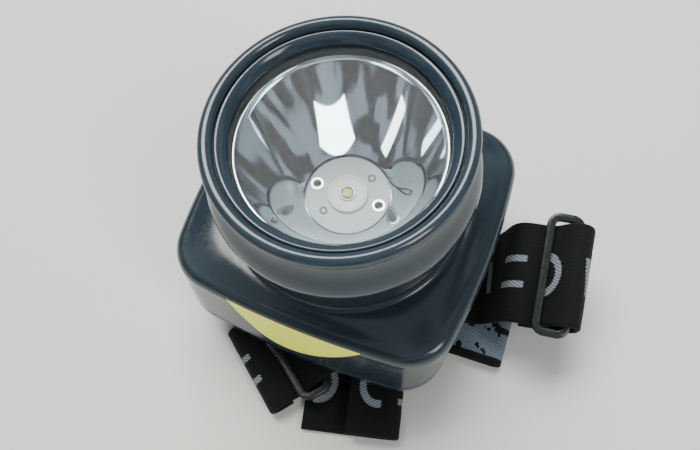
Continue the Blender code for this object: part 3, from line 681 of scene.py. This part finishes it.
def make_button(finishes):
    bushing = turned(
        "button_collar",
        [(6.85, 0.0), (6.85, 3.5)] + arc(6.45, 3.55, 0.4, 0.0, 90.0, 6) + [(5.7, 3.95), (5.5, 3.7), (5.5, 0.0)],
        finishes["buckle"],
        SMALL_STEPS,
        ring=True,
    )
    place(bushing, (BUTTON_X, OUTSIDE_Y - 3.6, BUTTON_Z), (-90.0, 0.0, 0.0))
    settle(bushing, "lamp", "buckle", "button_bushing")
    crown = [(5.15, 0.4), (5.15, 4.5)] + arc(4.6, 4.6, 0.55, 0.0, 80.0, 6)
    for i in range(4):
        radius = 3.9 - 0.9 * i
        crown += [(radius, 5.2), (radius - 0.2, 5.38), (radius - 0.45, 5.38), (radius - 0.65, 5.2)]
    cap = turned("button_cap_soft", crown, finishes["button"], SMALL_STEPS)
    place(cap, (BUTTON_X, OUTSIDE_Y - 3.6, BUTTON_Z), (-90.0, 0.0, 0.0))
    settle(cap, "power_button", "button", "button_cap")
    pipe = turned(
        "indicator_pipe",
        [(1.5, 0.0), (1.5, 5.0)] + arc(0.7, 5.0, 0.8, 0.0, 85.0, 8),
        finishes["led"],
        SMALL_STEPS,
    )
    place(pipe, (INDICATOR_X, OUTSIDE_Y - 5.4, BUTTON_Z), (-90.0, 0.0, 0.0))
    settle(pipe, "lamp", "led", "charge_indicator")


def make_flap(finish):
    """Rubber cover, and the plug that seals the socket."""
    low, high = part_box("port_cover")
    thick = 1.5
    flap = box("port_flap", (thick, 12.0, 11.6), finish, 0.45, 5)
    place(flap, (low.x / MM + thick / 2, PORT_Y, PORT_Z))
    plug = place(cylinder("plug", 1.6, 2.0, finish), (low.x / MM + thick - 0.3, PORT_Y, PORT_Z), (0.0, 90.0, 0.0))
    cut(flap, [plug], "UNION")
    settle(flap, "charging_flap", "button", "port_cover")


def make_bracket(finish):
    low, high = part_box("strap_bracket")
    size = (high - low) / MM
    plate = box("bracket_plate", tuple(size), finish, 0.6, 5)
    place(plate, (low + high) / 2 / MM)
    tools = []
    for side in (1, -1):
        tools.append(place(box("slot", (7.2, 31.0, 8.0), None, 0.9), (side * 26.8, 0.0, low.z / MM)))
        tools.append(place(cylinder("screw_well", 3.1, 2.2), (side * 12.0, 0.0, low.z / MM - 1.0)))
        tools.append(place(cylinder("screw_hole", 1.8, 8.0), (side * 12.0, 0.0, low.z / MM - 2.0)))
    cut(plate, tools)
    settle(plate, "lamp", "buckle", "strap_bracket")


# ---------------------------------------------------------------- strap


def smooth_route(points, per_span=10):
    """A Catmull-Rom curve through the route's own points."""
    knots = [Vector(point) for point in [points[0], *points, points[-1]]]
    route = []
    for a, b, c, d in zip(knots, knots[1:], knots[2:], knots[3:]):
        for i in range(per_span):
            t = i / per_span
            square = (2 * a - 5 * b + 4 * c - d) * t**2
            cube = (3 * b - a - 3 * c + d) * t**3
            route.append((2 * b + (c - a) * t + square + cube) / 2)
    route.append(knots[-1])
    return route


def section(columns=30, edge_steps=5):
    """(across, lift, side) points round the webbing's section: top, round selvage, bottom, selvage."""
    half_w, half_t = STRAP_W / 2, STRAP_T / 2
    flat = half_w - half_t
    points = [(flat - 2 * flat * i / columns, half_t, 1) for i in range(columns + 1)]
    for i in range(1, edge_steps):
        angle = math.radians(90.0 + 180.0 * i / edge_steps)
        points.append((-flat + half_t * math.cos(angle), half_t * math.sin(angle), 1))
    points += [(-flat + 2 * flat * i / columns, -half_t, -1) for i in range(columns + 1)]
    for i in range(1, edge_steps):
        angle = math.radians(-90.0 + 180.0 * i / edge_steps)
        points.append((flat + half_t * math.cos(angle), half_t * math.sin(angle), -1))
    return points


def webbing(name, start, heading, route, finishes, bank=0.0, face_side=1, ripple=0.12):
    """Webbing along (run, height) points in the vertical plane of its heading.

    face_side says which side carries the woven figures, and 0 stands for both. The ripple is the slight wave of a strap
    that has been folded for storage.
    """
    turn = math.radians(heading)
    along = Vector((math.cos(turn), math.sin(turn), 0.0))
    across = Vector((-math.sin(turn), math.cos(turn), 0.0))
    line = smooth_route(route)
    outline = section()
    mesh = bmesh.new()
    uv = mesh.loops.layers.uv.new("weave")
    rows, run_length = [], 0.0
    lengths = []
    for i, (run, z) in enumerate(line):
        before, after = line[max(i - 1, 0)], line[min(i + 1, len(line) - 1)]
        tangent = (after - before).normalized()
        normal = Vector((-tangent.y, tangent.x))
        if i:
            run_length += (line[i] - line[i - 1]).length
        lengths.append(run_length)
        lean = bank * min(max((z - FLAT_BELOW_Z) / 5.0, 0.0), 1.0)
        wave = ripple * math.sin(run_length * 0.33 + heading)
        row = []
        for offset, lift, side in outline:
            share = offset / (STRAP_W / 2)
            rise = lift + wave * share**2 * math.sin(run_length * 0.21) + 0.02 * math.sin(offset * 7.0) * side
            point = Vector((*start, 0.0)) + along * (run + normal.x * rise) + across * offset
            point.z = max(z + normal.y * rise + offset * lean, 0.02)
            row.append(mesh.verts.new(point))
        rows.append(row)
    count = len(outline)
    for k in range(len(rows) - 1):
        for i in range(count):
            j = (i + 1) % count
            face = mesh.faces.new((rows[k][i], rows[k][j], rows[k + 1][j], rows[k + 1][i]))
            face.material_index = 0 if face_side in (0, outline[i][2]) else 1
            for loop, (row, column) in zip(face.loops, ((k, i), (k, j), (k + 1, j), (k + 1, i))):
                loop[uv].uv = (lengths[row] / 10.0, outline[column][0] / 10.0)
    for row, backwards in ((rows[0], True), (rows[-1], False)):
        face = mesh.faces.new(list(reversed(row)) if backwards else row)
        face.material_index = 0
    obj = finish_mesh(name, mesh, [finishes["strap_face"], finishes["strap_back"]], 60.0)
    return obj, run_length


RIGHT_START, RIGHT_HEADING, RIGHT_BANK = (27.6, 1.0), 10.0, 0.2
RIGHT_ROUTE = [
    (-0.6, 8.4), (-0.6, 7.4), (-0.3, 6.3), (1.0, 5.4), (3.0, 5.1), (7.2, 5.2), (9.6, 6.6),
    (11.6, 10.0), (13.2, 13.6), (14.8, 15.9), (17.0, 16.8), (19.4, 17.1), (21.6, 17.15),
    (23.2, 17.9), (25.2, 20.0), (26.9, 21.6), (28.6, 22.1), (30.4, 21.5), (31.3, 19.9),
    (30.9, 18.1), (29.4, 17.0), (26.6, 16.0), (23.6, 15.2), (20.6, 14.75), (18.0, 14.5),
]
LEFT_START, LEFT_HEADING = (1.7, -24.5), 234.0
LEFT_ROUTE = [
    (3.0, 5.0), (3.2, 6.2), (4.0, 7.4), (5.6, 7.9), (8.0, 7.3), (10.5, 5.6), (13.0, 4.2), (15.0, 4.0),
    (17.0, 4.3), (19.4, 5.0), (21.6, 4.4), (22.6, 2.9), (21.8, 1.3), (19.4, TABLE_LAYER),
    (17.0, TABLE_LAYER),
]
UNDER_START, UNDER_HEADING = (0.0, -8.2), 4.0
UNDER_ROUTE = [
    (-6.0, 2.75), (10.0, 2.75), (30.0, 2.75), (42.0, 2.8), (44.8, 2.75), (46.0, 1.8),
    (44.8, 0.85), (42.0, TABLE_LAYER), (30.0, TABLE_LAYER), (-6.0, TABLE_LAYER),
]
BOTTOM_START, BOTTOM_HEADING = (11.5, -36.4), 15.5
BOTTOM_ROUTE = [
    (-9.0, TABLE_LAYER), (-3.0, TABLE_LAYER), (3.0, TABLE_LAYER), (8.0, 0.9), (12.0, 1.1),
    (14.2, 1.9), (15.2, 3.1), (14.2, 4.3), (12.0, 5.0), (8.0, 5.0), (2.5, 5.0),
]


def slider_ring(name, finish, centre, heading, bank, pitch, body, node):
    """Moulded ring of round bars: a closed loop of round-cornered section, swept about the window."""
    half_u, half_v = (SLIDER_U - SLIDER_BAR) / 2, (SLIDER_V - SLIDER_BAR) / 2
    corner = 2.2
    path = []
    for sx, sy, start in ((1, 1, 0), (-1, 1, 90), (-1, -1, 180), (1, -1, 270)):
        for i in range(9):
            angle = math.radians(start + 90.0 * i / 8)
            path.append((
                Vector((sx * (half_u - corner), sy * (half_v - corner), 0.0))
                + Vector((math.cos(angle), math.sin(angle), 0.0)) * corner,
                Vector((math.cos(angle), math.sin(angle), 0.0)),
            ))
    loops = []
    for point, outward in path:
        loop = []
        rail = abs(outward.y) ** 2
        half_wide, half_tall = SLIDER_BAR / 2, 0.80 + 0.12 * rail
        for i in range(24):
            angle = 2 * math.pi * i / 24
            c, s = math.cos(angle), math.sin(angle)
            across = half_wide * math.copysign(abs(c) ** 0.5, c)
            up = half_tall * math.copysign(abs(s) ** 0.5, s)
            loop.append(point + outward * across + Vector((0.0, 0.0, up)))
        loops.append(loop)
    ring = loft(name, loops, finish, ring=True, smooth_angle=70.0)
    tilt = Matrix.Rotation(math.radians(heading), 4, "Z") @ Matrix.Rotation(math.radians(bank), 4, "X")
    pose = Matrix.Translation(Vector(centre) * MM) @ tilt @ Matrix.Rotation(math.radians(pitch), 4, "Y")
    ring.data.transform(pose)
    return settle(ring, body, "buckle", node)


def strap_arm(name, start, heading, route, finishes, bank, node):
    """A strap arm's webbing, baked to its world position, in place of its hidden CAD node."""
    arm, length = webbing(name, start, heading, route, finishes, bank)
    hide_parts(node)
    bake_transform(arm)
    return arm


def make_strap(finishes):
    strap_arm("strap_right_woven", RIGHT_START, RIGHT_HEADING, RIGHT_ROUTE, finishes, RIGHT_BANK,
              "strap_right_arm")
    strap_arm("strap_left_woven", LEFT_START, LEFT_HEADING, LEFT_ROUTE, finishes, 0.0,
              "strap_left_arm")
    under, length = webbing("strap_under_woven", UNDER_START, UNDER_HEADING, UNDER_ROUTE, finishes, face_side=-1, ripple=0.0)
    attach(under, "lamp")
    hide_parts("strap_under_run")
    bottom, length = webbing("strap_bottom_woven", BOTTOM_START, BOTTOM_HEADING, BOTTOM_ROUTE, finishes, face_side=0, ripple=0.0)
    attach(bottom, "lamp")
    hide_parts("strap_bottom_run")
    slider_ring("slider_right_ring", finishes["buckle"], (52.2, 5.35, 19.6), RIGHT_HEADING, 11.3, 0.0,
                "right_slider", "slider_right")
    slider_ring("slider_left_ring", finishes["buckle"], (-4.35, -32.8, 5.9), LEFT_HEADING, 0.0, -6.0,
                "left_slider", "slider_left")


# ---------------------------------------------------------------- carried-over nodes


def dress_nodes(finishes):
    """Materials for the CAD nodes that stay in view: the pieces inside the housing and the screws."""
    dress = {
        "battery_cell": "cell", "control_board": "circuit", "switch_board": "circuit",
        "tact_switch": "component", "heat_sink": "aluminium", "lens_gasket": "seal",
        "charge_socket": "component",
    }
    for name, node in nodes.items():
        if node.hide_render:
            continue
        key = "steel" if "_screw_" in name else dress[name]
        for index in range(len(node.material_slots)):
            node.material_slots[index].material = finishes[key]


# ---------------------------------------------------------------- stage


def make_floor():
    g = Graph("pale_floor")
    grain = g.noise(g.place(), 6.0, 3.0)
    g.set(Base_Color=g.mix(grain, rgb(0.86, 0.855, 0.80), rgb(0.91, 0.905, 0.85)), Roughness=0.55)
    mesh = bmesh.new()
    bmesh.ops.create_grid(mesh, x_segments=2, y_segments=2, size=1500.0)
    floor = finish_mesh("floor", mesh, [g.material])
    floor.location.z = -0.0001


def area_light(name, at, target, size, power, colour=(1.0, 1.0, 1.0)):
    data = bpy.data.lights.new(name, "AREA")
    data.shape = "RECTANGLE"
    data.size, data.size_y = size
    data.energy = power
    data.color = colour
    obj = bpy.data.objects.new(name, data)
    obj.location = at
    obj.rotation_euler = (Vector(target) - Vector(at)).to_track_quat("-Z", "Y").to_euler()
    bpy.context.scene.collection.objects.link(obj)


def make_world():
    """A room of pale and dark patches that shows only in reflections. Behind the floor it is plain."""
    world = bpy.data.worlds.new("soft_room")
    world.use_nodes = True
    tree = world.node_tree
    around = tree.nodes.new("ShaderNodeTexCoord")
    patches = tree.nodes.new("ShaderNodeTexNoise")
    patches.inputs["Scale"].default_value = 3.4
    patches.inputs["Detail"].default_value = 1.5
    levels = tree.nodes.new("ShaderNodeValToRGB")
    dark, pale = levels.color_ramp.elements
    dark.position, dark.color = 0.46, (0.05, 0.03, 0.03, 1.0)
    pale.position, pale.color = 0.54, (0.80, 0.88, 0.95, 1.0)
    seen = tree.nodes.new("ShaderNodeLightPath")
    backdrop = tree.nodes.new("ShaderNodeMix")
    backdrop.data_type = "RGBA"
    backdrop.inputs["B"].default_value = (1.0, 1.0, 0.98, 1.0)
    background = tree.nodes["Background"]
    background.inputs["Strength"].default_value = 0.6
    tree.links.new(around.outputs["Generated"], patches.inputs["Vector"])
    tree.links.new(patches.outputs["Fac"], levels.inputs["Fac"])
    tree.links.new(seen.outputs["Is Camera Ray"], backdrop.inputs["Factor"])
    tree.links.new(levels.outputs["Color"], backdrop.inputs["A"])
    tree.links.new(backdrop.outputs["Result"], background.inputs["Color"])
    bpy.context.scene.world = world


def make_light():
    make_world()
    area_light("ceiling", (-0.35, 0.45, 1.1), (0.0, 0.0, 0.03), (0.9, 0.5), 20.0, (1.0, 0.995, 0.97))
    area_light("side", (0.7, -0.2, 0.8), (0.0, 0.0, 0.03), (0.25, 0.5), 3.4, (1.0, 0.98, 0.95))


def make_camera():
    data = bpy.data.cameras.new("camera")
    data.sensor_width = 36.0
    data.lens = 36.0
    data.clip_start, data.clip_end = 0.01, 10.0
    camera = bpy.data.objects.new("camera", data)
    right = Vector((0.91868, 0.38992, -0.06315))
    forward = Vector((-0.20208, 0.32658, -0.92332))
    up = right.cross(forward)
    axes = Matrix((right, up, -forward)).transposed().to_4x4()
    camera.matrix_world = Matrix.Translation(Vector((35.942, -59.338, 184.069)) * MM) @ axes
    bpy.context.scene.collection.objects.link(camera)
    bpy.context.scene.camera = camera


def main():
    make_camera()
    finishes = make_materials()
    make_front_shell(finishes["housing"], finishes["crescent"])
    make_rear_cover(finishes["housing"])
    make_seam(finishes["seal"])
    make_cup(finishes["head"])
    make_bezel(finishes["head"])
    make_reflector(finishes)
    make_lens(finishes["lens"])
    make_emitter(finishes)
    make_button(finishes)
    make_flap(finishes["button"])
    make_bracket(finishes["buckle"])
    make_strap(finishes)
    dress_nodes(finishes)
    make_floor()
    make_light()


main()
